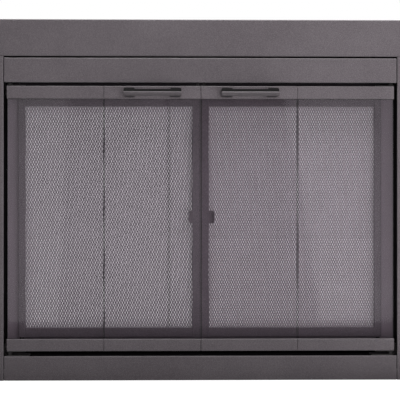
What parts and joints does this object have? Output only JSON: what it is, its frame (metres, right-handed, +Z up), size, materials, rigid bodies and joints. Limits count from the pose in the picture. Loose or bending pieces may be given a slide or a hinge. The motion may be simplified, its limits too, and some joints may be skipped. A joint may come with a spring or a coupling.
{
  "type": "fireplace glass door",
  "caption": "Painted steel fireplace surround with folding pairs of clear glass panels, bar handles on the inner panels, and framed mesh screens hinged behind them.",
  "frame": {"origin": "on the hearth, midway across the width and midway between the fronts of the handles and the rear ends of the masonry brackets", "axes": "+X to the viewer's right across the width, +Y from the room into the fireplace, +Z up"},
  "size_m": [0.9524, 0.152, 0.762],
  "materials": {
    "gunmetal_paint": "fine-speckled satin powder coat on folded sheet steel",
    "handle_paint": "satin powder coat, a little smoother than the frame",
    "handle_black": "black heat-proof moulding",
    "smoked_glass": "lightly smoked tempered glass with polished edges",
    "seal_rubber": "black heat-proof glazing strip",
    "net_paint": "grey heat-proof paint on steel net",
    "blackened_steel": "black-plated steel pivots, hinges and screws",
    "zinc_steel": "zinc-plated steel hardware",
    "nylon": "black nylon",
    "magnet": "black magnet housing"
  },
  "bodies": {
    "frame": {"lintel_panel": "gunmetal_paint", "left_stile": "gunmetal_paint", "right_stile": "gunmetal_paint", "header_panel": "gunmetal_paint", "bottom_rail": "gunmetal_paint", "overhead_track": "zinc_steel", "corner_plates": "zinc_steel", "end_clips": "zinc_steel", "frame_screws": "blackened_steel", "upper_masonry_brackets": "zinc_steel", "lower_masonry_brackets": "zinc_steel", "bracket_bolts": "zinc_steel", "bracket_nuts": "zinc_steel", "top_pivot_sockets": "nylon", "floor_pivot_brackets": "blackened_steel", "pivot_collars": "nylon", "screen_hinge_brackets": "blackened_steel", "screen_magnets": "magnet"},
    "left_outer_panel": {"left_outer_top_rail": "gunmetal_paint", "left_outer_bottom_rail": "gunmetal_paint", "left_outer_glass": "smoked_glass", "left_outer_glass_seals": "seal_rubber", "left_pivot_pins": "blackened_steel", "left_outer_hinge_leaves": "blackened_steel", "left_hinge_pins": "blackened_steel"},
    "left_inner_panel": {"left_inner_top_rail": "gunmetal_paint", "left_inner_bottom_rail": "gunmetal_paint", "left_inner_glass": "smoked_glass", "left_inner_glass_seals": "seal_rubber", "left_inner_hinge_leaves": "blackened_steel", "left_guide_pin": "blackened_steel", "left_guide_shoe": "nylon", "left_handle_bar": "handle_paint", "left_handle_base": "handle_black", "left_handle_screws": "zinc_steel"},
    "left_screen": {"left_screen_frame": "gunmetal_paint", "left_screen_net": "net_paint", "left_screen_pull": "gunmetal_paint", "left_screen_hinge_pins": "blackened_steel"},
    "right_outer_panel": {"right_outer_top_rail": "gunmetal_paint", "right_outer_bottom_rail": "gunmetal_paint", "right_outer_glass": "smoked_glass", "right_outer_glass_seals": "seal_rubber", "right_pivot_pins": "blackened_steel", "right_outer_hinge_leaves": "blackened_steel", "right_hinge_pins": "blackened_steel"},
    "right_inner_panel": {"right_inner_top_rail": "gunmetal_paint", "right_inner_bottom_rail": "gunmetal_paint", "right_inner_glass": "smoked_glass", "right_inner_glass_seals": "seal_rubber", "right_inner_hinge_leaves": "blackened_steel", "right_guide_pin": "blackened_steel", "right_guide_shoe": "nylon", "right_handle_bar": "handle_paint", "right_handle_base": "handle_black", "right_handle_screws": "zinc_steel"},
    "right_screen": {"right_screen_frame": "gunmetal_paint", "right_screen_net": "net_paint", "right_screen_pull": "gunmetal_paint", "right_screen_hinge_pins": "blackened_steel"}
  },
  "joints": [
    {"name": "left_door_swing", "type": "hinge", "parent": "frame", "child": "left_outer_panel", "pos_m": [-0.403, -0.022, 0.3425], "axis": [0, 0, -1], "range_deg": [0, 85]},
    {"name": "left_door_fold", "type": "hinge", "parent": "left_outer_panel", "child": "left_inner_panel", "pos_m": [-0.20485, -0.0134, 0.3425], "axis": [0, 0, 1], "range_deg": [0, 170]},
    {"name": "left_screen_swing", "type": "hinge", "parent": "frame", "child": "left_screen", "pos_m": [-0.381, 0.021, 0.34475], "axis": [0, 0, -1], "range_deg": [0, 4.5]},
    {"name": "right_door_swing", "type": "hinge", "parent": "frame", "child": "right_outer_panel", "pos_m": [0.403, -0.022, 0.3425], "axis": [0, 0, 1], "range_deg": [0, 85]},
    {"name": "right_door_fold", "type": "hinge", "parent": "right_outer_panel", "child": "right_inner_panel", "pos_m": [0.20485, -0.0134, 0.3425], "axis": [0, 0, -1], "range_deg": [0, 170]},
    {"name": "right_screen_swing", "type": "hinge", "parent": "frame", "child": "right_screen", "pos_m": [0.381, 0.021, 0.34475], "axis": [0, 0, 1], "range_deg": [0, 4.5]}
  ],
  "couplings": [
    {"joint": "left_door_fold", "follows": "left_door_swing", "ratio": 2},
    {"joint": "right_door_fold", "follows": "right_door_swing", "ratio": 2}
  ]
}
